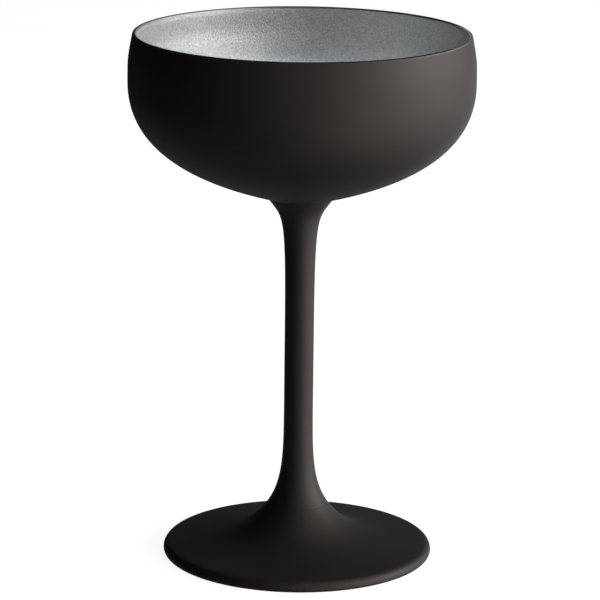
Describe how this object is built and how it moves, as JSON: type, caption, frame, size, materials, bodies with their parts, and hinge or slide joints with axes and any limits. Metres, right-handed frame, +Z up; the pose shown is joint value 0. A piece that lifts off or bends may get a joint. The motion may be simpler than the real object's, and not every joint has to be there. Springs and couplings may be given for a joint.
{
  "type": "coupe glass",
  "caption": "Stemmed coupe glass with a shallow rounded bowl, matt black lacquer outside and silver lacquer inside, on a slender stem and a round foot.",
  "frame": {"origin": "centre of the ring that the foot rests on, in the plane of the table", "axes": "+Z up along the axis of symmetry, from the foot to the lip; +X and +Y are any two level directions"},
  "size_m": [0.0948, 0.0948, 0.147],
  "materials": {
    "glass": "polished",
    "black_lacquer": "matte",
    "silver_lacquer": "satin"
  },
  "bodies": {
    "root": {"bowl": "glass", "stem": "glass", "foot": "glass", "outer_coat": "black_lacquer", "lining": "silver_lacquer"}
  },
  "joints": []
}
